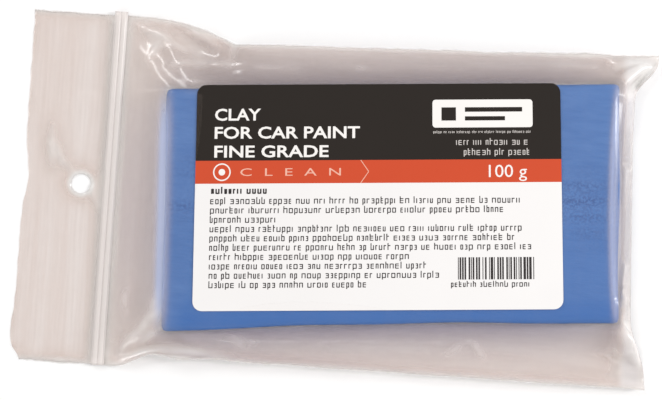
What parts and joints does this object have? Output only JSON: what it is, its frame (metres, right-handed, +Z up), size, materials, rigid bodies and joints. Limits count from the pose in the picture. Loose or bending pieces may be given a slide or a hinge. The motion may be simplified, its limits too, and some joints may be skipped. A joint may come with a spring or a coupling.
{
  "type": "detailing clay bar",
  "caption": "Flat bar of detailing clay in a clear grip-seal pouch with a punched lip and a label; the mouth lifts open and the bar slides out.",
  "frame": {"origin": "under the middle of the pouch's outline, on the surface that it lies on", "axes": "+X from the open mouth to the bottom fold, +Y across the pouch, +Z up out of the labelled front"},
  "size_m": [0.18, 0.103, 0.0092],
  "materials": {
    "clay": "smooth, slightly tacky synthetic clay",
    "film": "clear, slightly hazy polyethylene film",
    "weld": "melted film edge",
    "zip": "extruded translucent polyethylene",
    "label": "printed, satin varnish"
  },
  "bodies": {
    "pouch": {"back_panel": "film", "front_panel": "film", "bottom_fold": "film", "side_weld_near": "weld", "side_weld_far": "weld", "back_lip": "film", "zip_groove": "zip", "label": "label"},
    "mouth_flap": {"front_lip": "film", "zip_rib": "zip"},
    "bar": {"clay_bar": "clay"}
  },
  "joints": [
    {"name": "mouth_open", "type": "hinge", "parent": "pouch", "child": "mouth_flap", "pos_m": [-0.057, 0, 0.003], "axis": [0, 1, 0], "range_deg": [0, 65]},
    {"name": "bar_slide", "type": "slide", "parent": "pouch", "child": "bar", "axis": [-1, 0, 0], "range_m": [0, 0.175], "deforming": ["front_panel", "front_lip", "zip_rib", "zip_groove"]}
  ]
}
